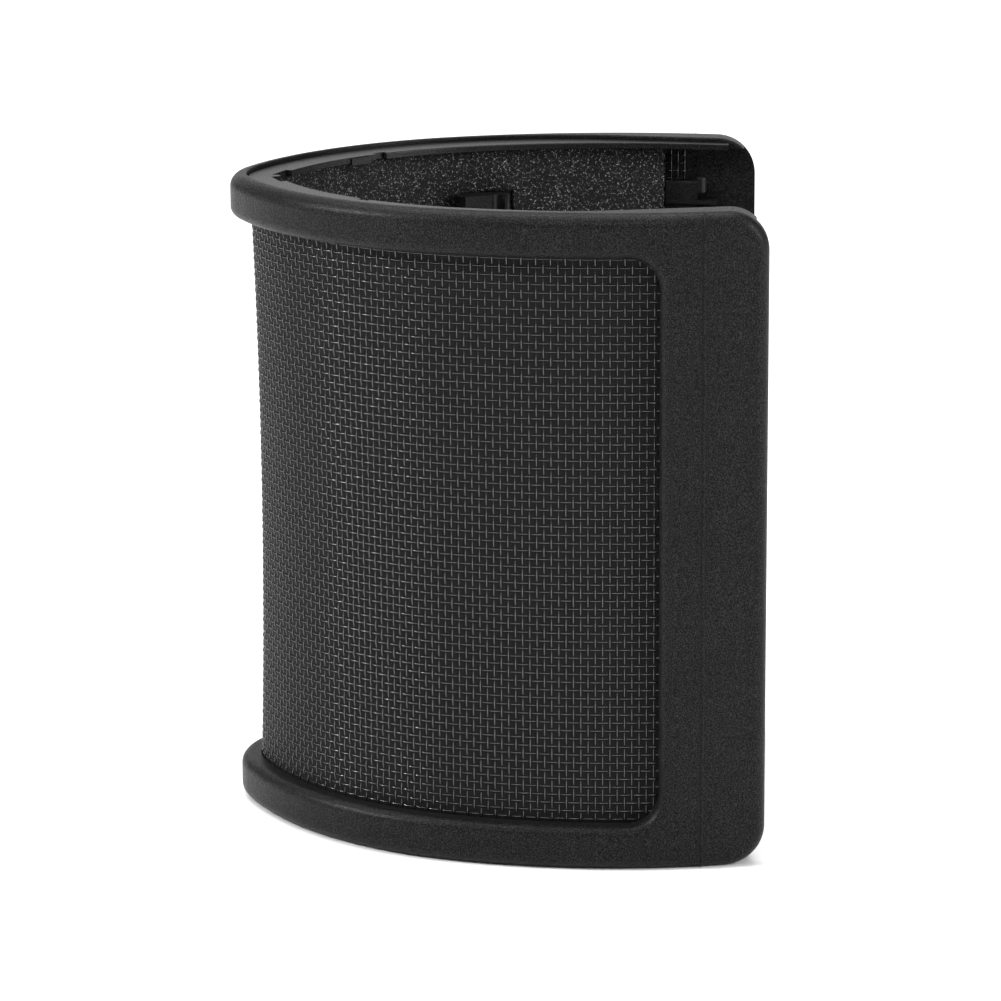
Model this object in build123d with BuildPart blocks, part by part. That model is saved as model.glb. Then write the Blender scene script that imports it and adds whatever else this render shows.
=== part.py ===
from build123d import *
import os
from math import acos, cos, radians, sin, tan

# A U-shaped isolation shield that clips around the front of a studio microphone.
# Frame: origin at the middle of the footprint, on the surface that it stands on.
# +Z up, the closed front towards -Y, the open back towards +Y, mirrored about X = 0.
# All sizes in millimetres.

# ---- driving sizes --------------------------------------------------------------
height = 125.0            # overall height, bottom rim to top rim
depth = 102.5             # closed front to free edge of the flanges

tip_radius = 20.0         # plan curve of the outer face: three tangent arcs a side ...
tip_turn = 22.5           # ... each with the angle that it turns through, in degrees
cheek_radius = 65.3
cheek_turn = 49.5
side_radius = 103.0
side_turn = 29.0          # ... and then straight to the flange's free edge

wall = 3.8                # outer frame's wall
lip = 3.2                 # lip beside the retaining rings, thinner than the wall ...
lip_ease = -34.0          # ... but this change of its side radius widens it to the flanges
rim_height = 8.4          # rim above and below the window
flange_width = 20.0       # frame behind the window's end, up to the free edge

outer_round = 2.6         # rounding along the outer frame's outside edges
inner_round = 0.4         # ... and along its inside edges
window_round = 2.0        # ... and round the window
window_corner = 6.0       # corner radius of the window, seen from the side
flange_corner = 7.5       # corner radius of the flanges, seen from the side
mould_line_radius = 0.25  # fine raised line where the mould halves met ...
mould_line_turn = 60.0    # ... that turns this far over the rounding at either rim
mould_line_back = 11.9    # ... this far in front of the free edge

ring_thickness = 1.2      # retaining rings that close the layers in, top and bottom
ring_recess = 0.9         # ring's face below the rim's edge
ring_gap = 0.15           # groove between ring and lip
ring_inset = 9.6          # ring's inner edge, from the outer face
ring_back = 5.5           # ring ends this far in front of the flange's free edge
ring_round = 0.3
front_notch = (6.0, 1.2)  # notches in the ring's inner edge, length and depth: near the
front_notch_turn = 22.0   # front, at this angle round the plan curve ...
side_notch = (2.6, 1.2)   # ... and on each cheek
side_notch_turn = 52.3
snap_tab = (5.0, 0.4)     # tab in front of the cheek notch, length and depth
snap_tab_turn = 46.9
snap_tab_drop = 0.4       # tab reaches this far past the ring's underside
gate_mark_radius = 0.7    # two small nicks at the ring's front, where the mould was fed ...
gate_mark_offset = 1.6    # ... this far each side of the middle

layer_gap = 0.05          # between neighbouring layers
mesh_thickness = 0.5      # woven wire screen, over its wires
cloth_thickness = 0.3     # fine woven cloth behind it
foam_thickness = 2.7      # open-cell foam liner
mesh_back = 13.2          # each layer ends this far in front of the free edge
cloth_back = 18.3
foam_back = 18.1

strut_thickness = 1.2     # strut between cloth and foam that carries the inner hooks
strut_margin = 1.5        # ... and how much wider it is than a hook, each side
inner_hook_middle = 47.9  # inner hooks: middle, from the closed front
inner_hook_length = 10.2
inner_hook_height = 10.0
inner_hook_drop = 10.8    # hook's outer end below the rim's edge
inner_hook_inset = 12.2   # hook's face, from the outer face
hook_groove_radius = 1.4  # groove that a band can lie in ...
hook_groove_back = 2.2    # ... in front of the hook's back end
hook_step = (1.4, 1.5)    # step at the hook's front end, length and depth
hook_round = 0.5
edge_round = 0.3

outer_hook_middle = 89.25 # outer hooks: middle of the plates, from the closed front
ledge_drop = 13.0         # upper face of the hook's ledge below the rim's edge
ledge_thickness = 0.8
ledge_inset = 6.6         # ledge's face, from the outer face
hook_length = 11.3
ear_front = 84.4          # ear through the ledge: from here to here, from the closed front
ear_back = 90.9
ear_inset = 6.0           # ear's face, from the outer face
ear_height = 3.8          # ... above the ledge
peg_radius = 0.95         # peg at the ear's end
peg_from_front = 91.75
peg_inset = 5.4
peg_length = 3.1
peg_top = 4.7             # ... above the ledge
plate_drop = 16.2         # deeper plate, nearer the shield's middle, that carries the stem
plate_thickness = 1.4
plate_inset = 11.8
stem_from_front = 91.5    # stem under the plate, which the elastic band goes round
stem_inset = 8.8
stem_radius = 2.0
stem_length = 5.0
cap_radius = 3.2          # cap that keeps the band on the stem
cap_thickness = 1.4
band_radius = 1.0         # round elastic band
band_gap = 0.05           # between band and stem

# ---- worked out -----------------------------------------------------------------
front = -depth / 2
back = depth / 2
mesh_inset = wall + layer_gap
cloth_inset = mesh_inset + mesh_thickness + layer_gap
foam_inset = cloth_inset + cloth_thickness + layer_gap
foam_face = foam_inset + foam_thickness
ring_top = height - ring_recess
ring_under = ring_top - ring_thickness
layer_bottom = height - ring_under + layer_gap
layer_height = height - 2 * layer_bottom
window_end = back - flange_width
overrun = 20.0            # plan curve is drawn this far past the free edge, then cut
far = 300.0               # longer than anything here, for cuts that go right through


def side_angle():
    """Angle between the plan curve's straight end and +Y, in degrees."""
    return tip_turn + cheek_turn + side_turn - 90.0


def plan_face(inset, end, side_ease=0.0):
    """The face inside the plan curve, this far in from the outer face, up to y = end."""
    with BuildSketch() as face:
        with BuildLine():
            first = CenterArc((0, front + tip_radius), tip_radius - inset, -90, tip_turn)
            second = JernArc(first @ 1, first % 1, cheek_radius - inset, cheek_turn)
            third = JernArc(second @ 1, second % 1, side_radius - inset + side_ease, side_turn)
            rise = back + overrun - (third @ 1).Y
            straight = Line(third @ 1, (third @ 1) + Vector(-rise * tan(radians(side_angle())), rise))
            mirror(about=Plane.YZ)
            Line(straight @ 1, ((straight @ 1).X * -1, back + overrun))
        make_face()
        with Locations((0, end + far / 2)):
            Rectangle(far, far, mode=Mode.SUBTRACT)
    return face.sketch


def plan_point(turn, inset):
    """Point of the plan curve's right half where it has turned this far, within the cheek."""
    tip = tip_radius - inset
    cheek = cheek_radius - inset
    x = tip * sin(radians(tip_turn)) + cheek * (sin(radians(turn)) - sin(radians(tip_turn)))
    y = tip * (1 - cos(radians(tip_turn)))
    y += cheek * (cos(radians(tip_turn)) - cos(radians(turn)))
    return (x, front + inset + y)


def side_x(inset, y):
    """Half width between the sides at this inset, for a y that the side's arc covers."""
    x, start = plan_point(tip_turn + cheek_turn, inset)
    turn = acos(cos(radians(tip_turn + cheek_turn)) - (y - start) / (side_radius - inset))
    return x + (side_radius - inset) * (sin(turn) - sin(radians(tip_turn + cheek_turn)))


def layer_face(outer, inner, end):
    """The band between two insets of the plan curve, cut square at y = end."""
    with BuildSketch() as band:
        add(plan_face(outer, end))
        add(plan_face(inner, end + 1), mode=Mode.SUBTRACT)
    return band.sketch


def build_layer(outer, thickness, end):
    """A U-shaped sheet that stands between the two retaining rings."""
    with BuildPart() as sheet:
        with BuildSketch(Plane.XY.offset(layer_bottom)):
            add(layer_face(outer, outer + thickness, end))
        extrude(amount=layer_height)
    return sheet


def slab(y_low, y_high):
    """The right half of the plan between two values of y, as a face."""
    with BuildSketch() as half:
        with BuildLine():
            Polyline((0, y_low), (far, y_low), (far, y_high), (0, y_high), close=True)
        make_face()
    return half.sketch


def cheek_x(inset, y):
    """Half width between the cheeks at this inset, for a y that the cheek's arc covers."""
    x, start = plan_point(tip_turn, inset)
    turn = acos(cos(radians(tip_turn)) - (y - start) / (cheek_radius - inset))
    return x + (cheek_radius - inset) * (sin(turn) - sin(radians(tip_turn)))


def write(name, piece):
    """Label a finished piece and export it under its own name."""
    piece.part.label = name
    export_step(piece.part, f"parts/{name}.step")
    print(f"{name:24s} {piece.part.volume:10.1f} mm3")


def frame_edges(inset, outside, side_ease=0.0):
    """The outer frame's edges at an inset: its outline's edges, or its window's."""
    curve = plan_face(inset, back + overrun, side_ease).edges()
    chosen = ShapeList()
    for edge in outer_frame.edges():
        middle = edge @ 0.5
        flat = Vector(middle.X, middle.Y, 0)
        if min(line.distance_to(flat) for line in curve) > 0.01:
            continue
        at_rim = min(middle.Z, height - middle.Z) < 0.01
        at_back = middle.Y > back - flange_corner
        at_floor = min(abs(middle.Z - ring_under), abs(height - middle.Z - ring_under)) < 0.01
        at_seam = edge.geom_type == GeomType.LINE and abs(edge.tangent_at(0.5).Z) > 0.99
        at_seam = at_seam and middle.Y < back - 0.01 and abs(middle.Y - window_end) > 0.01
        if at_seam or at_floor:
            continue
        if (at_rim or at_back) == outside:
            chosen.append(edge)
    return chosen


os.makedirs("parts", exist_ok=True)

# ---- outer frame: two rims and two flanges around one window ---------------------
with BuildPart() as outer_frame:
    with BuildSketch():
        add(layer_face(0, wall, back))
    extrude(amount=height)
    # shelves along both rims, which widen towards the flanges
    for floor in (0.0, ring_under):
        with BuildSketch(Plane.XY.offset(floor)):
            add(plan_face(wall - 1, back))
            add(plan_face(lip, back + 1, lip_ease), mode=Mode.SUBTRACT)
        extrude(amount=height - ring_under)
    # flanges with rounded corners, seen from the side
    with BuildSketch(Plane.YZ):
        with BuildLine():
            Polyline((front - 1, 0), (back, 0), (back, height), (front - 1, height), close=True)
        make_face()
        fillet(vertices().group_by(Axis.X)[-1], flange_corner)
    extrude(amount=far, both=True, mode=Mode.INTERSECT)
    # the wall is rebated for the retaining rings
    for floor in (-1.0, ring_under):
        with BuildSketch(Plane.XY.offset(floor)):
            add(plan_face(lip, back - ring_back + ring_gap, lip_ease))
        extrude(amount=height - ring_under + 1.0, mode=Mode.SUBTRACT)
    # one window, from flange to flange round the closed front
    with BuildSketch(Plane.YZ):
        with BuildLine():
            Polyline(
                (front - 1, rim_height),
                (window_end, rim_height),
                (window_end, height - rim_height),
                (front - 1, height - rim_height),
                close=True,
            )
        make_face()
        fillet(vertices().group_by(Axis.X)[-1], window_corner)
    extrude(amount=far, both=True, mode=Mode.SUBTRACT)

    # every sharp edge of the moulding is rounded
    fillet(frame_edges(0, outside=True), outer_round)
    fillet(frame_edges(0, outside=False), window_round)
    fillet(frame_edges(lip, outside=True, side_ease=lip_ease), inner_round)
    # raised line down each flange and over its rounded ends, where the mould halves met
    mould_line_y = back - mould_line_back
    mould_line_x = side_x(0, mould_line_y)
    for mirrored in (1, -1):
        with BuildLine(Plane.XZ.offset(-mould_line_y)):
            foot = mirrored * mould_line_x
            straight = Line((foot, outer_round), (foot, height - outer_round))
            JernArc(straight @ 0, (0, -1), outer_round, -mirrored * mould_line_turn)
            JernArc(straight @ 1, (0, 1), outer_round, mirrored * mould_line_turn)
        with BuildSketch(Plane.XY.offset(height / 2)):
            with Locations((foot, mould_line_y)):
                Circle(mould_line_radius)
        sweep()
write("outer_frame", outer_frame)

# ---- retaining rings: snap in behind each rim and close the layers in -------------
with BuildPart() as ring:
    with BuildSketch(Plane.XY.offset(ring_under)):
        add(plan_face(lip + ring_gap, back - ring_back, lip_ease))
        add(plan_face(ring_inset, back), mode=Mode.SUBTRACT)
        for turn, size in ((front_notch_turn, front_notch), (side_notch_turn, side_notch)):
            x, y = plan_point(turn, ring_inset)
            with Locations(Location((x, y), turn), Location((-x, y), -turn)):
                Rectangle(size[0], 2 * size[1], mode=Mode.SUBTRACT)
        ring_tip = front + ring_inset
        with Locations((gate_mark_offset, ring_tip), (-gate_mark_offset, ring_tip)):
            RegularPolygon(gate_mark_radius, 3, rotation=-90, mode=Mode.SUBTRACT)
    extrude(amount=ring_thickness)
    fillet(edges().group_by(Axis.Z)[-1].sort_by(SortBy.LENGTH)[-6:], ring_round)
    with BuildSketch(Plane.XY.offset(ring_under - snap_tab_drop)):
        x, y = plan_point(snap_tab_turn, ring_inset)
        with Locations(Location((x, y), snap_tab_turn), Location((-x, y), -snap_tab_turn)):
            Rectangle(snap_tab[0], 2 * snap_tab[1])
        add(plan_face(foam_face + layer_gap, back), mode=Mode.INTERSECT)
    extrude(amount=ring_thickness + snap_tab_drop - ring_round)
write("retaining_ring_top", ring)

with BuildPart() as ring_bottom:
    add(ring.part)
    mirror(about=Plane.XY.offset(height / 2), mode=Mode.REPLACE)
write("retaining_ring_bottom", ring_bottom)

# ---- the layers, from outside to inside -------------------------------------------
wire_mesh = build_layer(mesh_inset, mesh_thickness, back - mesh_back)
write("wire_mesh", wire_mesh)
etamine_cloth = build_layer(cloth_inset, cloth_thickness, back - cloth_back)
write("etamine_cloth", etamine_cloth)

# ---- hook struts: stand between cloth and foam, with an inner hook at each end -----
inner_hook_front = front + inner_hook_middle - inner_hook_length / 2
inner_hook_end = inner_hook_front + inner_hook_length
strut_face = foam_inset + strut_thickness
hook_lows = (inner_hook_drop, height - inner_hook_drop - inner_hook_height)
groove_y = inner_hook_end - hook_groove_back
with BuildPart() as strut_right:
    with BuildSketch(Plane.XY.offset(layer_bottom)):
        add(layer_face(foam_inset, strut_face, back))
        add(slab(inner_hook_front - strut_margin, inner_hook_end + strut_margin), mode=Mode.INTERSECT)
    extrude(amount=layer_height)
    for low in hook_lows:
        with BuildSketch(Plane.XY.offset(low)):
            add(layer_face(foam_inset, inner_hook_inset, back))
            add(slab(inner_hook_front, inner_hook_end), mode=Mode.INTERSECT)
            with Locations((cheek_x(inner_hook_inset, groove_y), groove_y)):
                Circle(hook_groove_radius, mode=Mode.SUBTRACT)
            with Locations((cheek_x(inner_hook_inset, inner_hook_front), inner_hook_front)):
                Rectangle(2 * hook_step[1], 2 * hook_step[0], mode=Mode.SUBTRACT)
        extrude(amount=inner_hook_height)
        corners = edges(Select.LAST).filter_by(Axis.Z).group_by(Axis.Y)
        fillet(corners[0].sort_by(Axis.X)[0], hook_round)
        fillet(corners[-1].sort_by(Axis.X)[0], hook_round)
write("hook_strut_right", strut_right)
with BuildPart() as strut_left:
    add(strut_right.part)
    mirror(about=Plane.YZ, mode=Mode.REPLACE)
write("hook_strut_left", strut_left)

# ---- foam liner: recessed for the struts, slotted for the inner hooks --------------
channel_front = inner_hook_front - strut_margin - layer_gap
channel_end = inner_hook_end + strut_margin + layer_gap
with BuildPart() as foam_liner:
    with BuildSketch(Plane.XY.offset(layer_bottom)):
        add(layer_face(foam_inset, foam_face, back - foam_back))
    extrude(amount=layer_height)
    with BuildSketch(Plane.XY.offset(layer_bottom)):
        add(layer_face(foam_inset - layer_gap, strut_face + layer_gap, back))
        add(slab(channel_front, channel_end), mode=Mode.INTERSECT)
        mirror(about=Plane.YZ)
    extrude(amount=layer_height, mode=Mode.SUBTRACT)
    for low in hook_lows:
        with BuildSketch(Plane.XY.offset(low - layer_gap)):
            add(slab(inner_hook_front - layer_gap, inner_hook_end + layer_gap))
            mirror(about=Plane.YZ)
        extrude(amount=inner_hook_height + 2 * layer_gap, mode=Mode.SUBTRACT)
write("foam_liner", foam_liner)

# ---- outer hooks: on the flanges' inner faces, behind the window -------------------
ledge_top = height - ledge_drop
plate_top = height - plate_drop
plate_low = plate_top - plate_thickness
stem = (side_x(stem_inset, front + stem_from_front), front + stem_from_front)
peg = (side_x(peg_inset, front + peg_from_front), front + peg_from_front)
plate_front = front + outer_hook_middle - hook_length / 2
plate_back = plate_front + hook_length
root = wall + layer_gap
with BuildPart() as hook_right_upper:
    with BuildSketch(Plane.XY.offset(plate_low)):
        add(layer_face(root, plate_inset, back))
        add(slab(plate_front, plate_back), mode=Mode.INTERSECT)
    extrude(amount=plate_thickness)
    fillet(edges().filter_by(Axis.Z).sort_by(Axis.X)[:2], 2 * hook_round)
    with BuildSketch(Plane.XY.offset(ledge_top - ledge_thickness)):
        add(layer_face(root, ledge_inset, back))
        add(slab(plate_front, plate_back), mode=Mode.INTERSECT)
    extrude(amount=ledge_thickness)
    with BuildSketch(Plane.XY.offset(plate_low)):
        add(layer_face(root, ear_inset, back))
        add(slab(front + ear_front, front + ear_back), mode=Mode.INTERSECT)
    extrude(amount=ledge_top + ear_height - plate_low)
    fillet(edges().group_by(Axis.Z)[-1], edge_round)
    with BuildSketch(Plane.XY.offset(ledge_top + peg_top - peg_length)):
        with Locations(peg):
            Circle(peg_radius)
    extrude(amount=peg_length)
    fillet(edges().group_by(Axis.Z)[-1], edge_round)
    with BuildSketch(Plane.XY.offset(plate_low - stem_length)):
        with Locations(stem):
            Circle(stem_radius)
    extrude(amount=stem_length)
    with BuildSketch(Plane.XY.offset(plate_low - stem_length - cap_thickness)):
        with Locations(stem):
            Circle(cap_radius)
    extrude(amount=cap_thickness)
    fillet(edges().group_by(Axis.Z)[0], hook_round)
    # the plates stand clear of the screen and the foam where these reach behind them
    with BuildSketch(Plane.XY.offset(plate_low - 1)):
        add(layer_face(0, cloth_inset, back - mesh_back + layer_gap))
        add(layer_face(0, foam_face + layer_gap, back - foam_back + layer_gap))
    extrude(amount=far, mode=Mode.SUBTRACT)
write("outer_hook_right_upper", hook_right_upper)
with BuildPart() as hook_left_upper:
    add(hook_right_upper.part)
    mirror(about=Plane.YZ, mode=Mode.REPLACE)
write("outer_hook_left_upper", hook_left_upper)
for side, upper in (("right", hook_right_upper), ("left", hook_left_upper)):
    with BuildPart() as hook_lower:
        add(upper.part)
        mirror(about=Plane.XY.offset(height / 2), mode=Mode.REPLACE)
    write(f"outer_hook_{side}_lower", hook_lower)

# ---- elastic bands: closed loops round the left and right stems --------------------
band_reach = stem_radius + band_gap + band_radius
upper_band_z = plate_low - stem_length / 2
for level, band_z in (("upper", upper_band_z), ("lower", height - upper_band_z)):
    with BuildPart() as band:
        with BuildLine(Plane.XY.offset(band_z)) as route:
            rear = Line((-stem[0], stem[1] + band_reach), (stem[0], stem[1] + band_reach))
            JernArc(rear @ 1, rear % 1, band_reach, -180)
            near = Line((stem[0], stem[1] - band_reach), (-stem[0], stem[1] - band_reach))
            JernArc(near @ 1, near % 1, band_reach, -180)
        with BuildSketch(Plane(origin=rear @ 0, z_dir=rear % 0)):
            Circle(band_radius)
        sweep()
    write(f"elastic_band_{level}", band)
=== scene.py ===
"""Looks of a U-shaped microphone isolation shield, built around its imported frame.

Every piece is a class that builds its meshes with numpy and dresses them. Lengths are in
metres, in the frame's own axes: +Z up, the closed front towards -Y, the open back towards +Y.
"""

import logging
from dataclasses import dataclass, field
from enum import Enum
from math import cos, pi, radians, sin
from typing import Any

import bpy
import numpy as np
from mathutils import Matrix, Vector


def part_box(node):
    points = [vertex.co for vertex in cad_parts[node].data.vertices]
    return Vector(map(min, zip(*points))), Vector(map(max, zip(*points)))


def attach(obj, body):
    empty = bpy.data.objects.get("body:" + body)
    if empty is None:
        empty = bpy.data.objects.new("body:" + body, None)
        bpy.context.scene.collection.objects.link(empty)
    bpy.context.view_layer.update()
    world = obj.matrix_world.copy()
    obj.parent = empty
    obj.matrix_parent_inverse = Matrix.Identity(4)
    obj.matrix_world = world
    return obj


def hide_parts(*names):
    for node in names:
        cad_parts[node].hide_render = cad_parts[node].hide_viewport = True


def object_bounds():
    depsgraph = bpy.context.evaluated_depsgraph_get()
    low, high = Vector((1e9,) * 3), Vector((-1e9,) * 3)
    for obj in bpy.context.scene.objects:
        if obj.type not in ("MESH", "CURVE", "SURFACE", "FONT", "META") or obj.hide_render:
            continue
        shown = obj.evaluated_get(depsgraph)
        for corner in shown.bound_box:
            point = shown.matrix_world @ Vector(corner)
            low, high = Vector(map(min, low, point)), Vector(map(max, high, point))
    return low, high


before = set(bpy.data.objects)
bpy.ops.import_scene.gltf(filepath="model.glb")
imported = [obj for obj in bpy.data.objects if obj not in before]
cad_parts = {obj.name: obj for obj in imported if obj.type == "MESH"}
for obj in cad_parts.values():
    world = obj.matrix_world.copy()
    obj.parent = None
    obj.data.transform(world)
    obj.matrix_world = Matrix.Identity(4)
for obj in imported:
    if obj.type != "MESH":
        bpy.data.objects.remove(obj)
cad_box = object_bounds()

MM = 0.001
BODY = "root"
CLOTH_BEHIND = 0.21 * MM  # front of the cloth, which swells into the openings of the screen
FOAM_THICKNESS = 2.7 * MM
RIM_GRIP = 6.0 * MM  # height at each rim over which the layers are clamped and cannot bow
log = logging.getLogger("shield")


# ---- colour and node helpers ----------------------------------------------------------


def linear(code: str, alpha: float = 1.0) -> tuple[float, float, float, float]:
    """Turn an sRGB hex colour into linear RGBA.

    Args:
        code: six hex digits with a leading hash.
        alpha: the fourth value.

    Returns:
        Four floats. Each channel c in 0 to 1 becomes c / 12.92 below 0.04045 and
        ((c + 0.055) / 1.055) to the power 2.4 above it.
    """
    raw = np.array([int(code[i : i + 2], 16) for i in (1, 3, 5)]) / 255.0
    low = raw / 12.92
    high = ((raw + 0.055) / 1.055) ** 2.4
    red, green, blue = np.where(raw <= 0.04045, low, high)
    return (float(red), float(green), float(blue), alpha)


def add_node(tree: bpy.types.NodeTree, kind: str, settings: dict[str, Any] | None = None,
             inputs: dict[str | int, Any] | None = None) -> bpy.types.Node:
    """Add one shader node, with its settings and its inputs.

    Args:
        tree: the material's or world's node tree.
        kind: the node's type name, without the ShaderNode prefix.
        settings: properties to set on the node.
        inputs: socket name or number to a constant, or to another node's output socket.

    Returns:
        The new node.
    """
    node = tree.nodes.new("ShaderNode" + kind)
    for key, value in (settings or {}).items():
        setattr(node, key, value)
    for key, value in (inputs or {}).items():
        if isinstance(value, bpy.types.NodeSocket):
            tree.links.new(value, node.inputs[key])
        else:
            node.inputs[key].default_value = value
    return node


def new_material(name: str) -> tuple[bpy.types.Material, bpy.types.NodeTree]:
    """Make an empty node material.

    Args:
        name: the material's name.

    Returns:
        The material and its cleared node tree.
    """
    material = bpy.data.materials.new(name)
    material.use_nodes = True
    material.node_tree.nodes.clear()
    return material, material.node_tree


def ramp(tree: bpy.types.NodeTree, factor: bpy.types.NodeSocket,
         stops: list[tuple[float, tuple[float, float, float, float]]]) -> bpy.types.NodeSocket:
    """Add a colour ramp and return its colour socket.

    Args:
        tree: the node tree.
        factor: the socket that drives it.
        stops: position and colour of each stop, in order.

    Returns:
        The ramp's colour output.
    """
    node = add_node(tree, "ValToRGB", inputs={"Fac": factor})
    elements = node.color_ramp.elements
    while len(elements) < len(stops):
        elements.new(0.5)
    for element, (position, colour) in zip(elements, stops):
        element.position = position
        element.color = colour
    return node.outputs["Color"]


def finish_material(tree: bpy.types.NodeTree, shader: bpy.types.Node) -> None:
    """Link a shader to the material's output.

    Args:
        tree: the material's node tree.
        shader: the surface shader.
    """
    add_node(tree, "OutputMaterial", inputs={"Surface": shader.outputs[0]})


# ---- finishes ---------------------------------------------------------------------------


@dataclass(frozen=True)
class MouldedAbs:
    """Injection-moulded black ABS with a fine spark-eroded mould texture.

    The texture breaks the reflection of the studio into a soft satin sheen with a fine
    sparkle, while rounded edges still draw a clear light line. The pits trap part of the
    light, so the specular level is well below that of polished plastic, and they are
    painted near black as painted shade. Real pits are about 0.1 mm wide, too fine to show,
    so they are drawn twice as coarse.
    """

    name: str = "abs_black_moulded_spark_texture"
    # painted shade: colour of the mould pits, near black for the shade that falls in them
    painted_shade_pit: str = "#010101"
    shade_land: str = "#272728"
    shade_flow: str = "#2c2c2d"
    specular: float = 0.13
    roughness: float = 0.38
    grain_size: float = 0.24 * MM
    grain_depth: float = 0.045 * MM
    flow_size: float = 9.0 * MM

    def make(self) -> bpy.types.Material:
        """Build the material: slow flow marks in tone, painted shade in the grain's pits, bump and
        roughness.

        Returns:
            The new material.
        """
        material, tree = new_material(self.name)
        place = add_node(tree, "TexCoord").outputs["Object"]
        grain = add_node(tree, "TexNoise", {"noise_dimensions": "3D"},
                         {"Vector": place, "Scale": 1.0 / self.grain_size, "Detail": 1.0,
                          "Roughness": 0.5})
        flow = add_node(tree, "TexNoise", {"noise_dimensions": "3D"},
                        {"Vector": place, "Scale": 1.0 / self.flow_size, "Detail": 2.0})
        land = ramp(tree, flow.outputs["Fac"],
                    [(0.35, linear(self.shade_land)), (0.75, linear(self.shade_flow))])
        # painted shade: the grain's low points take the near-black pit colour
        pits = add_node(tree, "MapRange", inputs={
            "Value": grain.outputs["Fac"], "From Min": 0.42, "From Max": 0.68,
            "To Min": 0.0, "To Max": 1.0})
        colour = add_node(tree, "Mix", {"data_type": "RGBA"}, {
            0: pits.outputs["Result"], 6: linear(self.painted_shade_pit), 7: land}).outputs[2]
        rough = add_node(tree, "MapRange", inputs={
            "Value": grain.outputs["Fac"], "From Min": 0.35, "From Max": 0.65,
            "To Min": self.roughness + 0.14, "To Max": self.roughness - 0.06})
        bump = add_node(tree, "Bump", inputs={
            "Height": grain.outputs["Fac"], "Strength": 1.0, "Distance": self.grain_depth})
        shader = add_node(tree, "BsdfPrincipled", inputs={
            "Base Color": colour, "Roughness": rough.outputs["Result"],
            "Normal": bump.outputs["Normal"], "IOR": 1.5,
            "Specular IOR Level": self.specular})
        finish_material(tree, shader)
        return material


@dataclass(frozen=True)
class EnamelledWire:
    """Drawn steel wire under black enamel.

    The smooth round coat gives each crest of the weave one small bright glint and leaves
    the rest of the wire nearly black.
    """

    name: str = "steel_wire_black_enamel"
    shade: str = "#080808"
    roughness: float = 0.20
    patch_size: float = 6.0 * MM

    def make(self) -> bpy.types.Material:
        """Build the material: gloss coat with slightly uneven roughness.

        Returns:
            The new material.
        """
        material, tree = new_material(self.name)
        place = add_node(tree, "TexCoord").outputs["Object"]
        patches = add_node(tree, "TexNoise", inputs={"Vector": place, "Detail": 2.0,
                                                     "Scale": 1.0 / self.patch_size})
        rough = add_node(tree, "MapRange", inputs={
            "Value": patches.outputs["Fac"], "From Min": 0.3, "From Max": 0.7,
            "To Min": self.roughness - 0.05, "To Max": self.roughness + 0.06})
        shader = add_node(tree, "BsdfPrincipled", inputs={
            "Base Color": linear(self.shade), "Roughness": rough.outputs["Result"],
            "IOR": 1.6, "Specular IOR Level": 0.7})
        finish_material(tree, shader)
        return material


@dataclass(frozen=True)
class EtamineWeave:
    """Very fine black polyester etamine, woven at five threads to two millimetres.

    Read from the piece's own UV map, whose unit is one metre of cloth, so the threads keep
    their size round the curve. Threads are drawn on the bias and catch a dull diagonal light.
    The gaps between the threads are painted black as painted shade.
    """

    name: str = "etamine_polyester_woven"
    thread_pitch: float = 0.38 * MM
    # painted shade: colour of the gaps between the threads
    painted_shade_hole: str = "#000000"
    shade_thread: str = "#252526"
    weft_share: float = 0.6
    roughness: float = 0.55
    thread_height: float = 0.06 * MM

    def make(self) -> bpy.types.Material:
        """Build the material: two sets of bias threads, as sine waves across the UV map, with
        painted shade in the gaps between them.

        Returns:
            The new material.
        """
        material, tree = new_material(self.name)
        place = add_node(tree, "UVMap", {"uv_map": "cloth"}).outputs["UV"]
        turned = add_node(tree, "Mapping", inputs={"Vector": place,
                                                   "Rotation": (0.0, 0.0, radians(45.0))})
        waves = [
            add_node(tree, "TexWave", {"bands_direction": direction, "wave_profile": "SIN"},
                     {"Vector": turned.outputs["Vector"], "Scale": pi / 10.0 / self.thread_pitch})
            for direction in ("X", "Y")
        ]
        faint = add_node(tree, "Math", {"operation": "MULTIPLY"},
                         {0: waves[1].outputs["Fac"], 1: self.weft_share})
        woven = add_node(tree, "Math", {"operation": "MAXIMUM"},
                         {0: waves[0].outputs["Fac"], 1: faint.outputs["Value"]})
        # painted shade: the threads darken to black in the gaps between them
        colour = ramp(tree, woven.outputs["Value"],
                      [(0.3, linear(self.painted_shade_hole)), (0.95, linear(self.shade_thread))])
        bump = add_node(tree, "Bump", inputs={"Height": woven.outputs["Value"], "Strength": 1.0,
                                              "Distance": self.thread_height})
        shader = add_node(tree, "BsdfPrincipled", inputs={
            "Base Color": colour, "Roughness": self.roughness, "Normal": bump.outputs["Normal"],
            "IOR": 1.4, "Specular IOR Level": 0.08, "Sheen Weight": 0.04,
            "Sheen Roughness": 0.4})
        finish_material(tree, shader)
        return material


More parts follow.
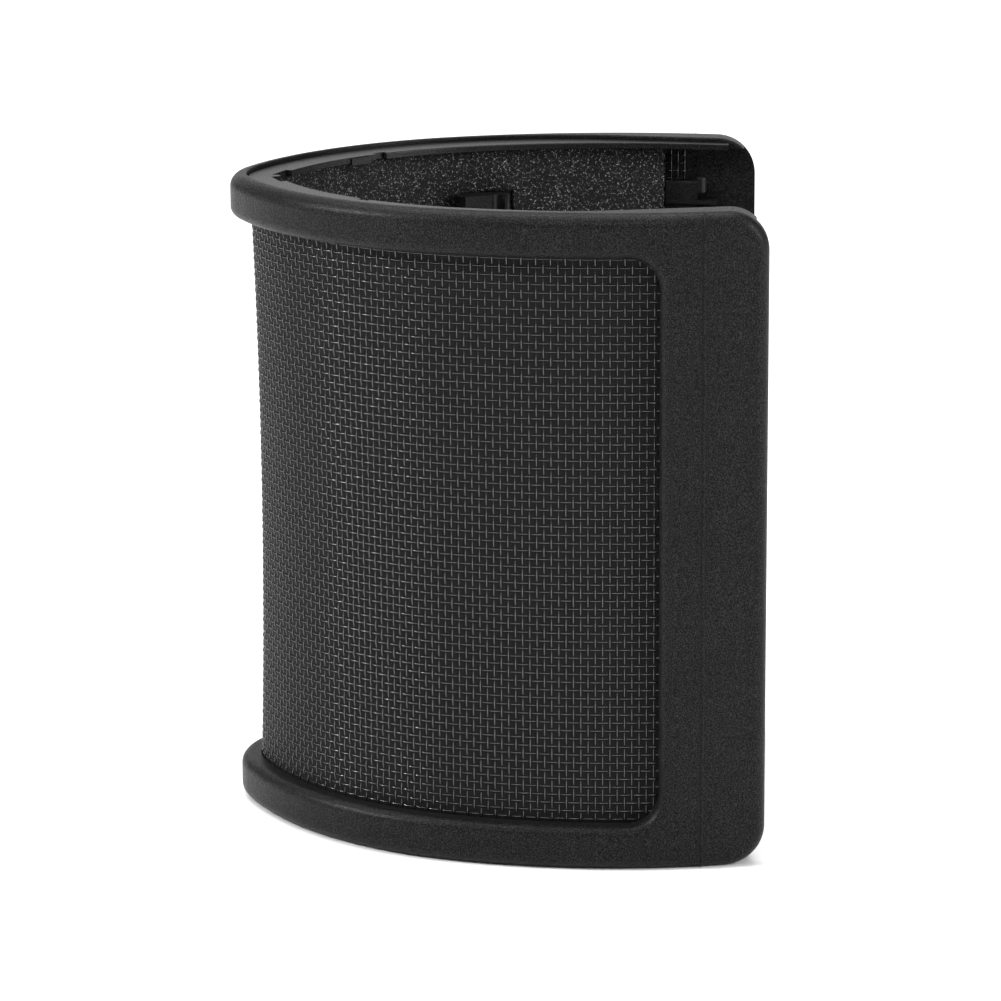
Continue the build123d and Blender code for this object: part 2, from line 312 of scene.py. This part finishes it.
@dataclass(frozen=True)
class OpenCellFoam:
    """Reticulated black polyurethane foam, cut from a block.

    The cut skeleton of fine shiny struts gives dark pores and many small sparkles. The pores
    are darkened with painted shade, and the sparkles are painted highlights on the strut tips.
    """

    name: str = "polyurethane_foam_open_cell"
    pore: float = 1.1 * MM
    strut: float = 0.30 * MM
    # painted shade: colour of the pores' centres
    painted_shade_pore: str = "#010101"
    shade_strut: str = "#060607"
    # painted highlight: pale colour of the strut tips, standing for their sparkle
    painted_highlight_tip: str = "#9c9ca0"
    pore_depth: float = 0.30 * MM

    def make(self) -> bpy.types.Material:
        """Build the material: pores painted dark from cell distance as painted shade, bright strut
        tips painted from fine noise as painted highlights.

        Returns:
            The new material.
        """
        material, tree = new_material(self.name)
        place = add_node(tree, "TexCoord").outputs["Object"]
        pores = add_node(tree, "TexVoronoi", {"feature": "DISTANCE_TO_EDGE"},
                         {"Vector": place, "Scale": 1.0 / self.pore})
        fine = add_node(tree, "TexNoise", inputs={"Vector": place, "Scale": 1.0 / self.strut,
                                                  "Detail": 2.0, "Roughness": 0.6})
        ridge = add_node(tree, "MapRange", inputs={
            "Value": pores.outputs["Distance"], "From Min": 0.0, "From Max": 0.30,
            "To Min": 0.22, "To Max": 0.0})
        mixed = add_node(tree, "Math", {"operation": "ADD"},
                         {0: fine.outputs["Fac"], 1: ridge.outputs["Result"]})
        # painted shade in the pores, painted highlights on the strut tips
        colour = ramp(tree, mixed.outputs["Value"],
                      [(0.40, linear(self.painted_shade_pore)), (0.66, linear(self.shade_strut)),
                       (0.75, linear(self.shade_strut)), (0.88, linear(self.painted_highlight_tip))])
        rough = add_node(tree, "MapRange", inputs={
            "Value": fine.outputs["Fac"], "From Min": 0.35, "From Max": 0.65,
            "To Min": 0.8, "To Max": 0.35})
        bump = add_node(tree, "Bump", inputs={"Height": mixed.outputs["Value"], "Strength": 1.0,
                                              "Distance": self.pore_depth})
        shader = add_node(tree, "BsdfPrincipled", inputs={
            "Base Color": colour, "Roughness": rough.outputs["Result"],
            "Normal": bump.outputs["Normal"], "IOR": 1.45, "Specular IOR Level": 0.3})
        finish_material(tree, shader)
        return material


@dataclass(frozen=True)
class BraidedElastic:
    """Round elastic: rubber core under a tight black polyester braid.

    Read from the piece's UV map in metres. The crossing yarns show as a fine herringbone,
    with painted shade in the gaps between them.
    """

    name: str = "elastic_polyester_braid"
    yarn_pitch: float = 0.55 * MM
    yarn_lean: float = radians(35.0)
    yarn_height: float = 0.12 * MM
    # painted shade: colour of the crevices between the yarns
    painted_shade_gap: str = "#08080a"
    shade_yarn: str = "#2a2a2c"

    def make(self) -> bpy.types.Material:
        """Build the material: yarns that lean to both sides, as sine waves across the map, darkened
        towards the gaps between them with painted shade.

        Returns:
            The new material.
        """
        material, tree = new_material(self.name)
        place = add_node(tree, "UVMap", {"uv_map": "braid"}).outputs["UV"]
        yarns = []
        for lean in (self.yarn_lean, -self.yarn_lean):
            turned = add_node(tree, "Mapping", inputs={"Vector": place,
                                                       "Rotation": (0.0, 0.0, lean)})
            yarns.append(add_node(tree, "TexWave", {"bands_direction": "X"},
                                  {"Vector": turned.outputs["Vector"],
                                   "Scale": pi / 10.0 / self.yarn_pitch}))
        woven = add_node(tree, "Math", {"operation": "MAXIMUM"},
                         {0: yarns[0].outputs["Fac"], 1: yarns[1].outputs["Fac"]})
        # painted shade: the yarns darken towards the gaps between them
        colour = ramp(tree, woven.outputs["Value"],
                      [(0.4, linear(self.painted_shade_gap)), (0.95, linear(self.shade_yarn))])
        bump = add_node(tree, "Bump", inputs={"Height": woven.outputs["Value"], "Strength": 1.0,
                                              "Distance": self.yarn_height})
        shader = add_node(tree, "BsdfPrincipled", inputs={
            "Base Color": colour, "Roughness": 0.6, "Normal": bump.outputs["Normal"],
            "Sheen Weight": 0.3})
        finish_material(tree, shader)
        return material


@dataclass(frozen=True)
class StudioFloor:
    """Seamless white studio paper, matt."""

    name: str = "studio_paper_white"
    shade: str = "#f6f6f6"

    def make(self) -> bpy.types.Material:
        """Build the plain matt material.

        Returns:
            The new material.
        """
        material, tree = new_material(self.name)
        shader = add_node(tree, "BsdfPrincipled", inputs={
            "Base Color": linear(self.shade), "Roughness": 0.9, "Specular IOR Level": 0.1})
        finish_material(tree, shader)
        return material


# ---- meshes -------------------------------------------------------------------------------


def grid_faces(rows: int, columns: int, wrap: bool = False) -> np.ndarray:
    """Quads of a grid of points stored row by row.

    Args:
        rows: number of rows.
        columns: number of points in a row.
        wrap: join each row's last point to its first.

    Returns:
        An array of four point numbers per quad.
    """
    across = np.arange(columns if wrap else columns - 1)
    right = (across + 1) % columns
    down = np.arange(rows - 1)[:, None] * columns
    quads = np.stack([down + across, down + right, down + columns + right,
                      down + columns + across], axis=-1)
    return quads.reshape(-1, 4)


def make_piece(name: str, points: np.ndarray, faces: list[np.ndarray],
               material: bpy.types.Material, uv: tuple[str, np.ndarray] | None = None,
               ) -> bpy.types.Object:
    """Put arrays into a smooth-shaded mesh object at the origin.

    Args:
        name: the piece's name.
        points: N by 3 array of places in metres.
        faces: arrays of point numbers, one array for each face size.
        material: the finish.
        uv: name of the UV map and an N by 2 array with a value for each point.

    Returns:
        The new object, riding on nothing yet.
    """
    mesh = bpy.data.meshes.new(name)
    sizes = np.concatenate([np.full(len(block), block.shape[1]) for block in faces])
    corners = np.concatenate([block.reshape(-1) for block in faces]).astype(np.int32)
    starts = np.concatenate([[0], np.cumsum(sizes)[:-1]]).astype(np.int32)
    mesh.vertices.add(len(points))
    mesh.vertices.foreach_set("co", points.astype(np.float32).reshape(-1))
    mesh.loops.add(len(corners))
    mesh.loops.foreach_set("vertex_index", corners)
    mesh.polygons.add(len(sizes))
    mesh.polygons.foreach_set("loop_start", starts)
    mesh.update(calc_edges=True)
    mesh.validate()
    if uv is not None:
        layer = mesh.uv_layers.new(name=uv[0])
        layer.data.foreach_set("uv", uv[1][corners].astype(np.float32).reshape(-1))
    mesh.polygons.foreach_set("use_smooth", np.ones(len(mesh.polygons), bool))
    mesh.materials.append(material)
    piece = bpy.data.objects.new(name, mesh)
    bpy.context.scene.collection.objects.link(piece)
    return piece


def settle(piece: bpy.types.Object, slot: str, *nodes: str) -> bpy.types.Object:
    """Let a piece ride on the shield in place of CAD nodes, which are hidden.

    Args:
        piece: the piece.
        slot: not used.
        nodes: names of the CAD nodes that it stands for.

    Returns:
        The same piece.
    """
    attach(piece, BODY)
    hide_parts(*nodes)
    log.info("%s: %d faces, stands for %s", piece.name, len(piece.data.polygons), ", ".join(nodes))
    return piece


@dataclass(frozen=True)
class PlanCurve:
    """The shield's outline seen from above: arcs tangent to each other, then a straight.

    Each half turns through tip, cheek and side arcs away from the closed front. A curve
    parallel to the outer face at some inset has the same angles and smaller radii.
    """

    front: float
    tip_radius: float = 20.0 * MM
    cheek_radius: float = 65.3 * MM
    side_radius: float = 103.0 * MM
    tip_turn: float = radians(22.5)
    cheek_turn: float = radians(49.5)
    side_turn: float = radians(29.0)
    straight: float = 30.0 * MM
    samples: int = 240

    def half(self, inset: float) -> tuple[np.ndarray, np.ndarray, np.ndarray]:
        """Sample the right half, from the closed front to past the free edge.

        Args:
            inset: distance inside the outer face.

        Returns:
            x, y and the turned angle a. Along an arc of radius r, x grows by
            r (sin a - sin a0) and y by r (cos a0 - cos a).
        """
        x, y, start = 0.0, self.front + inset, 0.0
        xs, ys, angles = [], [], []
        for radius, turn in ((self.tip_radius, self.tip_turn),
                             (self.cheek_radius, self.cheek_turn),
                             (self.side_radius, self.side_turn)):
            angle = start + np.linspace(0.0, turn, self.samples, endpoint=False)
            xs.append(x + (radius - inset) * (np.sin(angle) - sin(start)))
            ys.append(y + (radius - inset) * (cos(start) - np.cos(angle)))
            angles.append(angle)
            x += (radius - inset) * (sin(start + turn) - sin(start))
            y += (radius - inset) * (cos(start) - cos(start + turn))
            start += turn
        run = np.linspace(0.0, self.straight, self.samples)
        xs.append(x + run * cos(start))
        ys.append(y + run * sin(start))
        angles.append(np.full(self.samples, start))
        return np.concatenate(xs), np.concatenate(ys), np.concatenate(angles)

    def strip(self, inset: float, end: float) -> "Strip":
        """The whole curve at an inset, from y = end on the left to y = end on the right.

        Args:
            inset: distance inside the outer face.
            end: y at which both halves end.

        Returns:
            The curve, addressed by arc length from the closed front.
        """
        x, y, angle = self.half(inset)
        length = np.concatenate([[0.0], np.cumsum(np.hypot(np.diff(x), np.diff(y)))])
        reach = float(np.interp(end, y, length))
        return Strip(length, x, y, angle, reach)


@dataclass(frozen=True)
class Strip:
    """A curve in plan, addressed by arc length s from its middle, right half positive."""

    length: np.ndarray
    x: np.ndarray
    y: np.ndarray
    angle: np.ndarray
    reach: float

    def place(self, s: np.ndarray, depth: np.ndarray, z: np.ndarray) -> np.ndarray:
        """Points at arc length s, this far inwards from the curve, at height z.

        Args:
            s: arc lengths, any shape.
            depth: distances inwards along the curve's normal, same shape.
            z: heights, same shape.

        Returns:
            The points, with a last axis of three. The outward normal is (sin a, -cos a).
        """
        side = np.sign(s)
        x = np.interp(np.abs(s), self.length, self.x)
        y = np.interp(np.abs(s), self.length, self.y)
        angle = np.interp(np.abs(s), self.length, self.angle)
        return np.stack([side * (x - depth * np.sin(angle)), y + depth * np.cos(angle), z],
                        axis=-1)

    def at_y(self, y: np.ndarray) -> np.ndarray:
        """Arc lengths of the right half's points with these y.

        Args:
            y: places along the depth axis.

        Returns:
            Arc lengths, same shape.
        """
        return np.interp(y, self.y, self.length)

    def along(self, s: np.ndarray) -> np.ndarray:
        """Unit tangents in the direction of growing s.

        Args:
            s: arc lengths, any shape.

        Returns:
            (cos a, sign(s) sin a, 0) at each of them, with a last axis of three.
        """
        angle = np.interp(np.abs(s), self.length, self.angle)
        return np.stack([np.cos(angle), np.sign(s) * np.sin(angle), np.zeros_like(s)], axis=-1)


@dataclass(frozen=True)
class Sag:
    """How far the layers bow inwards between the rims, where nothing backs them.

    The bow is depth times sin(pi h) to a power, with h the height between the rims from
    0 to 1, and fades from the closed front to nothing at the struts as a squared cosine.
    """

    low: float
    high: float
    reach: float
    depth: float = 1.0 * MM
    power: float = 0.8

    def at(self, s: np.ndarray, z: np.ndarray) -> np.ndarray:
        """Inward bow at arc length s and height z.

        Args:
            s: arc lengths.
            z: heights, same shape.

        Returns:
            Distances inwards, same shape.
        """
        h = np.clip((z - self.low) / (self.high - self.low), 0.0, 1.0)
        fade = np.cos(np.clip(np.abs(s) / self.reach, 0.0, 1.0) * pi / 2.0)
        return self.depth * np.sin(pi * h) ** self.power * fade ** 2


class WireRun(Enum):
    """Which way a set of wires runs."""

    WARP = "upright"
    WEFT = "round"


@dataclass
class WovenScreen:
    """Plain-weave wire screen: upright and level wires pass over and under each other."""

    curve: PlanCurve
    sag: Sag
    inset: float
    end: float
    low: float
    high: float
    finish: EnamelledWire = field(default_factory=EnamelledWire)
    wire: float = 0.27 * MM
    crimp: float = 0.135 * MM
    warp_pitch: float = 1.37 * MM
    weft_pitch: float = 1.575 * MM
    sides: int = 6

    def crossings(self) -> tuple[np.ndarray, np.ndarray]:
        """Places of the wires, a whole number of pitches from the screen's middle.

        Returns:
            Arc lengths of the upright wires and heights of the level ones.
        """
        strip = self.curve.strip(self.inset, self.end)
        count = int(strip.reach // self.warp_pitch)
        middle = (self.low + self.high) / 2.0
        rows = int((self.high - middle) // self.weft_pitch)
        return (np.arange(-count, count + 1) * self.warp_pitch,
                middle + np.arange(-rows, rows + 1) * self.weft_pitch)

    def tubes(self, run: WireRun, first: int, last: int) -> tuple[np.ndarray, list[np.ndarray]]:
        """Wires first to last of one set, as closed tubes.

        Args:
            run: which set.
            first: number of the first wire.
            last: one past the number of the last wire.

        Returns:
            Points and face arrays. A wire's centre moves in and out by the crimp as
            cos(pi (i + j)) from crossing to crossing, sampled there and half-way between,
            and a ring of points stands round it.
        """
        strip = self.curve.strip(self.inset, self.end)
        columns, rows = self.crossings()
        own, other = (columns, rows) if run is WireRun.WARP else (rows, columns)
        steps = np.arange(2 * len(other) - 1) / 2.0
        along = np.interp(steps, np.arange(len(other)), other)
        number = np.arange(first, last)
        phase = 0.0 if run is WireRun.WARP else 1.0
        weave = np.cos(pi * (number[:, None] + steps[None, :] + phase)) * self.crimp
        fixed = np.broadcast_to(own[first:last, None], weave.shape)
        moving = np.broadcast_to(along[None, :], weave.shape)
        s, z = (fixed, moving) if run is WireRun.WARP else (moving, fixed)
        depth = self.wire / 2.0 + self.crimp + weave + self.sag.at(s, z)
        centre = strip.place(s, depth, z)
        outward = centre - strip.place(s, depth + MM, z)
        outward /= np.linalg.norm(outward, axis=-1, keepdims=True)
        across = strip.along(s) if run is WireRun.WARP else np.zeros_like(centre) + (0.0, 0.0, 1.0)
        turn = np.arange(self.sides) * 2.0 * pi / self.sides
        if run is WireRun.WEFT:
            turn = -turn
        ring = (outward[..., None, :] * np.cos(turn)[:, None]
                + across[..., None, :] * np.sin(turn)[:, None]) * self.wire / 2.0
        points = centre[..., None, :] + ring
        samples = len(steps)
        tube = grid_faces(samples, self.sides, wrap=True)
        stride = samples * self.sides
        offsets = (np.arange(last - first) * stride)[:, None, None]
        walls = (tube[None] + offsets).reshape(-1, 4)
        cap = np.arange(self.sides)
        caps = np.stack([cap[::-1], cap + stride - self.sides])
        caps = (caps[None] + offsets).reshape(-1, self.sides)
        return points.reshape(-1, 3), [walls, caps]

    def build(self) -> list[bpy.types.Object]:
        """Make the screen as four pieces, two for each run of wires.

        Returns:
            The new pieces.
        """
        material = self.finish.make()
        columns, rows = self.crossings()
        plan = {
            "screen_warp_left": (WireRun.WARP, 0, len(columns) // 2),
            "screen_warp_right": (WireRun.WARP, len(columns) // 2, len(columns)),
            "screen_weft_lower": (WireRun.WEFT, 0, len(rows) // 2),
            "screen_weft_upper": (WireRun.WEFT, len(rows) // 2, len(rows)),
        }
        pieces = []
        for name, (run, first, last) in plan.items():
            points, faces = self.tubes(run, first, last)
            pieces.append(settle(make_piece(name, points, faces, material),
                                 "screen_wire", "wire_mesh"))
        return pieces


@dataclass
class EtamineSheet:
    """The fine cloth pressed against the screen from behind, between its wires."""

    curve: PlanCurve
    sag: Sag
    inset: float
    end: float
    low: float
    high: float
    finish: EtamineWeave = field(default_factory=EtamineWeave)
    thickness: float = 0.12 * MM
    step: float = 1.2 * MM

    def build(self) -> bpy.types.Object:
        """Make the sheet: a grid in arc length and height, bowed like the screen.

        Returns:
            The new piece.
        """
        strip = self.curve.strip(self.inset, self.end)
        columns = int(2 * strip.reach / self.step)
        rows = int((self.high - self.low) / self.step)
        s, z = np.meshgrid(np.linspace(-strip.reach, strip.reach, columns),
                           np.linspace(self.low, self.high, rows))
        points = strip.place(s, self.sag.at(s, z), z).reshape(-1, 3)
        uv = np.stack([s, z], axis=-1).reshape(-1, 2)
        sheet = make_piece("etamine_sheet", points, [grid_faces(rows, columns)],
                           self.finish.make(), ("cloth", uv))
        wall = sheet.modifiers.new("thickness", "SOLIDIFY")
        wall.thickness = self.thickness
        wall.offset = -1.0
        settle(sheet, "etamine", "etamine_cloth")
        return sheet


@dataclass
class FoamLiner:
    """Open-cell foam sheet that lines the shield, cut away round the hook struts."""

    curve: PlanCurve
    sag: Sag
    outer: float
    inner: float
    end: float
    low: float
    high: float
    strut_box: tuple[Vector, Vector]
    hook_height: float = 10.0 * MM
    hook_drop: float = 10.8 * MM
    strut_thickness: float = 1.2 * MM
    strut_margin: float = 1.5 * MM
    clearance: float = 0.05 * MM
    channel_play: float = 0.10 * MM
    edge_width: float = 0.02 * MM
    step: float = 0.72 * MM
    lump: float = 1.1 * MM
    relief: float = 0.30 * MM
    seed: int = 7
    finish: OpenCellFoam = field(default_factory=OpenCellFoam)

    def pores(self, s: np.ndarray, z: np.ndarray) -> np.ndarray:
        """Relief of the cut face, 0 at the struts and 1 in the pores.

        Args:
            s: arc lengths.
            z: heights.

        Returns:
            One minus the distance to the nearest of a jittered grid of cell centres,
            in cells, so that each cell is a small dent.
        """
        rng = np.random.default_rng(self.seed)
        u = (s - s.min()) / self.lump
        v = (z - z.min()) / self.lump
        centres = rng.random((int(v.max()) + 4, int(u.max()) + 4, 2))
        cell_u = np.floor(u).astype(int)
        cell_v = np.floor(v).astype(int)
        nearest = np.full(s.shape, 9.0)
        for du in (-1, 0, 1):
            for dv in (-1, 0, 1):
                jitter = centres[cell_v + dv + 1, cell_u + du + 1]
                gap = np.hypot(cell_u + du + jitter[..., 0] - u, cell_v + dv + jitter[..., 1] - v)
                nearest = np.minimum(nearest, gap)
        return 1.0 - np.clip(nearest, 0.0, 1.0)

    def with_steps(self, low: float, high: float, edges: np.ndarray) -> np.ndarray:
        """Evenly spaced values, with a close pair at each edge of the cut-outs.

        Args:
            low: first value.
            high: last value.
            edges: where the cut-outs' edges are.

        Returns:
            The values in order. Even ones within a third of a step of an edge are left out.
        """
        even = np.linspace(low, high, int((high - low) / self.step))
        pairs = np.concatenate([edges - self.edge_width, edges + self.edge_width])
        gap = np.abs(even[:, None] - edges[None, :]).min(axis=1)
        return np.sort(np.concatenate([even[gap > self.step / 3.0], pairs]))

    def build(self) -> bpy.types.Object:
        """Make the liner: a closed profile in depth and height, carried along the curve.

        Rows run up the inner face, over the top, down the outer face and under the foot. The
        outer face follows the bow of the screen, and the soft inner face half of it.

        Returns:
            The new piece.
        """
        strip = self.curve.strip(self.outer, self.end)
        thick = self.inner - self.outer
        lean = self.clearance
        low_y, high_y = self.strut_box[0].y - lean, self.strut_box[1].y + lean
        hook_y = np.array([low_y, high_y]) + np.array([1.0, -1.0]) * self.strut_margin
        hook_s = strip.at_y(np.array([low_y, high_y, *hook_y]))
        tops = np.array([self.hook_drop - lean, self.hook_drop + self.hook_height + lean])
        hook_z = np.concatenate([tops, cad_box[1].z - tops])
        along = self.with_steps(-strip.reach, strip.reach, np.concatenate([hook_s, -hook_s]))
        up = self.with_steps(self.low, self.high, hook_z)
        rows = len(up)
        columns = len(along)
        down = np.linspace(self.high, self.low, rows // 4)
        height = np.concatenate([up, down])
        on_inner = np.concatenate([np.ones(len(up)), np.zeros(len(down))])[:, None]
        s, z = np.meshgrid(along, height)
        reach = np.abs(s)
        at_strut = (reach > hook_s[0]) & (reach < hook_s[1])
        drop = np.minimum(z, cad_box[1].z - z)
        at_hook = ((reach > hook_s[2]) & (reach < hook_s[3])
                   & (drop > tops[0]) & (drop < tops[1]))
        channel = self.strut_thickness + self.channel_play
        face = thick - self.relief * self.pores(s, z)
        face = np.where(at_hook, channel + self.clearance, face)
        back = np.where(at_strut, channel, 0.0)
        bow = self.sag.at(s, z) * (1 - 0.5 * on_inner)
        depth = np.where(on_inner > 0.5, face, back) + bow
        points = strip.place(s, depth, z).reshape(-1, 3)
        total = len(height)
        body = grid_faces(total, columns)
        foot = np.arange(columns - 1)
        last = (total - 1) * columns
        under = np.stack([last + foot, last + foot + 1, foot + 1, foot], axis=-1)
        ends = np.arange(total) * columns
        inner_ends = ends[:rows]
        outer_ends = ends[rows:][::-1]
        match = np.interp(np.arange(rows), np.linspace(0, rows - 1, len(outer_ends)),
                          np.arange(len(outer_ends))).round().astype(int)
        left = np.stack([inner_ends[:-1], inner_ends[1:], outer_ends[match[1:]],
                         outer_ends[match[:-1]]], axis=-1)
        right = left[:, ::-1] + columns - 1
        liner = make_piece("foam_sheet", points, [np.concatenate([body, under, left, right])],
                           self.finish.make())
        settle(liner, "foam", "foam_liner")
        return liner


@dataclass
class ElasticBand:
    """One braided elastic loop, stretched level between the left and right hooks."""

    node: str
    finish: bpy.types.Material
    along: int = 160
    bend_steps: int = 24
    same_place: float = 1e-9
    sides: int = 16

    def build(self) -> bpy.types.Object:
        """Make the loop: a circle carried round a slot shape of two straights and two arcs.

        Returns:
            The new piece.
        """
        low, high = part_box(self.node)
        radius = (high.z - low.z) / 2.0
        bend = (high.y - low.y) / 2.0 - radius
        half = (high.x - low.x) / 2.0 - radius - bend
        centre_y = (low.y + high.y) / 2.0
        centre_z = (low.z + high.z) / 2.0
        arc = pi * bend
        total = 4.0 * half + 2.0 * arc
        corners = np.array([0.0, 2.0 * half, 2.0 * half + arc, 4.0 * half + arc, total])
        marks = np.linspace(0.0, total, self.along, endpoint=False)
        bends = np.concatenate([c + np.linspace(0.0, arc, self.bend_steps) for c in corners[[1, 3]]])
        inside = bends[bends < total - self.same_place]
        t = np.unique(np.concatenate([marks, inside, corners[:4]]))
        turn = np.interp(t, corners, [0.0, 0.0, pi, pi, 2.0 * pi])
        straight = np.interp(t, corners, [-half, half, half, -half, -half])
        normal = np.stack([np.sin(turn), np.cos(turn), np.zeros_like(t)], axis=-1)
        centre = np.stack([straight, np.full_like(t, centre_y), np.full_like(t, centre_z)],
                          axis=-1) + normal * bend
        angle = np.arange(self.sides + 1) * 2.0 * pi / self.sides
        upright = np.array([0.0, 0.0, 1.0])
        ring = (normal[:, None, :] * np.cos(angle)[:, None]
                + upright * np.sin(angle)[:, None]) * radius
        points = (centre[:, None, :] + ring)[:, : self.sides]
        rows = len(t)
        walls = grid_faces(rows, self.sides, wrap=True)
        around = np.arange(self.sides)
        seam = np.stack([(rows - 1) * self.sides + around,
                         (rows - 1) * self.sides + (around + 1) % self.sides,
                         (around + 1) % self.sides, around], axis=-1)
        uv = np.stack(np.broadcast_arrays(t[:, None], angle[None, : self.sides] * radius), axis=-1)
        band = make_piece(self.node.replace("elastic_band", "braided_band"),
                          points.reshape(-1, 3), [np.concatenate([walls, seam])],
                          self.finish, ("braid", uv.reshape(-1, 2)))
        return settle(band, "elastic", self.node)


@dataclass
class Mouldings:
    """The rigid moulded pieces, whose shapes are the frame's own."""

    frame_finish: MouldedAbs = field(default_factory=MouldedAbs)
    ring_finish: MouldedAbs = field(default_factory=lambda: MouldedAbs(
        name="abs_black_moulded_satin", specular=0.25, roughness=0.34, grain_size=0.24 * MM,
        grain_depth=0.020 * MM))

    def dress(self) -> None:
        """Give every rigid node its moulded finish."""
        body = self.frame_finish.make()
        inner = self.ring_finish.make()
        for name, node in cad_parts.items():
            if name == "outer_frame":
                finish = body
            elif name.startswith(("retaining", "hook", "outer_hook")):
                finish = inner
            else:
                continue
            node.data.materials.clear()
            node.data.materials.append(finish)
            log.info("%s: %s", name, finish.name)


# ---- studio ---------------------------------------------------------------------------------


@dataclass(frozen=True)
class SoftBox:
    """One soft box: where it stands from the object's middle, its size and its power."""

    name: str
    offset: tuple[float, float, float]
    size: tuple[float, float]
    power: float


@dataclass
class Studio:
    """White paper, a pale surround, an even top light and soft boxes."""

    floor_size: float = 6.0
    surround: float = 0.22
    top_strength: float = 3.0
    top_spread: float = radians(60.0)
    boxes: tuple[SoftBox, ...] = (
        SoftBox("key_left", (0.25, -1.00, 0.60), (0.22, 0.14), 11.0),
        SoftBox("front_strip", (1.00, -0.10, 0.90), (1.20, 0.06), 4.5),
        SoftBox("edge_right", (0.45, 1.00, 0.45), (0.30, 0.60), 9.0),
        SoftBox("rear_panel", (-1.55, 0.0, 0.45), (2.40, 0.80), 5.0),
    )

    def add_light(self, kind: str, name: str, place: Vector, aim: Vector,
                  power: float) -> bpy.types.Light:
        """Add one light that faces a point and that no camera sees.

        Args:
            kind: Blender's type of light.
            name: the light's name.
            place: where it stands.
            aim: the point that it faces.
            power: watts, or strength for a sun.

        Returns:
            The light's data, for its size to be set.
        """
        data = bpy.data.lights.new(name, kind)
        data.energy = power
        lamp = bpy.data.objects.new(name, data)
        lamp.location = place
        lamp.rotation_mode = "QUATERNION"
        lamp.rotation_quaternion = (aim - place).to_track_quat("-Z", "Y")
        lamp.visible_camera = False
        bpy.context.scene.collection.objects.link(lamp)
        return data

    def build(self) -> None:
        """Lay the floor, light the surround and place the lights."""
        low, high = cad_box
        middle = (low + high) / 2.0
        half = self.floor_size / 2.0
        points = np.array([[-half, -half, low.z], [half, -half, low.z],
                           [half, half, low.z], [-half, half, low.z]])
        floor = make_piece("studio_floor", points, [np.array([[0, 1, 2, 3]])],
                           StudioFloor().make())
        world = bpy.data.worlds.new("pale_surround")
        world.use_nodes = True
        world.node_tree.nodes.clear()
        glow = add_node(world.node_tree, "Background",
                        inputs={"Color": (1.0, 1.0, 1.0, 1.0), "Strength": self.surround})
        add_node(world.node_tree, "OutputWorld", inputs={"Surface": glow.outputs[0]})
        bpy.context.scene.world = world
        top = self.add_light("SUN", "top_light", middle + Vector((-0.2, -0.1, 1.0)), middle,
                             self.top_strength)
        top.angle = self.top_spread
        for box in self.boxes:
            lamp = self.add_light("AREA", box.name, middle + Vector(box.offset), middle, box.power)
            lamp.shape = "RECTANGLE"
            lamp.size, lamp.size_y = box.size
        bpy.context.scene.view_settings.view_transform = "Standard"


@dataclass
class ProductCamera:
    """Long lens at the shield's side, a little above its top rim."""

    eye: Vector = field(default_factory=lambda: Vector((809.5, 23.3, 258.5)) * MM)
    swing: float = radians(-1.61)
    dip: float = radians(13.8)
    roll: float = radians(-0.34)
    lens: float = 152.8
    sensor: float = 36.0
    near: float = 0.01

    def build(self) -> None:
        """Place the camera: it looks along -X, swung, dipped and rolled."""
        ahead = Vector((-cos(self.swing) * cos(self.dip), sin(self.swing) * cos(self.dip),
                        -sin(self.dip)))
        level = ahead.cross(Vector((0.0, 0.0, 1.0))).normalized()
        above = level.cross(ahead)
        right = level * cos(self.roll) + above * sin(self.roll)
        up = above * cos(self.roll) - level * sin(self.roll)
        data = bpy.data.cameras.new("product_camera")
        data.lens = self.lens
        data.sensor_width = self.sensor
        data.clip_start = self.near
        camera = bpy.data.objects.new("product_camera", data)
        camera.matrix_world = Matrix((
            (right.x, up.x, -ahead.x, self.eye.x),
            (right.y, up.y, -ahead.y, self.eye.y),
            (right.z, up.z, -ahead.z, self.eye.z),
            (0.0, 0.0, 0.0, 1.0)))
        bpy.context.scene.collection.objects.link(camera)
        bpy.context.scene.camera = camera


def main() -> None:
    """Build the shield's looks, piece by piece, then the studio and the camera."""
    logging.basicConfig(level=logging.INFO, format="%(name)s: %(message)s")
    ProductCamera().build()
    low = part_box("outer_frame")[0]
    curve = PlanCurve(front=low.y)
    screen_low, screen_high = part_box("wire_mesh")
    cloth_low, cloth_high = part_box("etamine_cloth")
    foam_low, foam_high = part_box("foam_liner")
    screen_inset = screen_low.y - low.y
    foam_inset = foam_low.y - low.y
    strut_low, strut_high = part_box("hook_strut_right")
    strut_reach = curve.strip(screen_inset, strut_low.y).reach
    sag = Sag(low=screen_low.z + RIM_GRIP, high=screen_high.z - RIM_GRIP, reach=strut_reach)
    Mouldings().dress()
    WovenScreen(curve, sag, screen_inset, screen_high.y, screen_low.z, screen_high.z).build()
    EtamineSheet(curve, sag, screen_inset + CLOTH_BEHIND, cloth_high.y, cloth_low.z,
                 cloth_high.z).build()
    FoamLiner(curve, sag, foam_inset, foam_inset + FOAM_THICKNESS, foam_high.y, foam_low.z,
              foam_high.z, (strut_low, strut_high)).build()
    elastic = BraidedElastic().make()
    for node in ("elastic_band_upper", "elastic_band_lower"):
        ElasticBand(node, elastic).build()
    Studio().build()


if __name__ == "__main__":
    main()
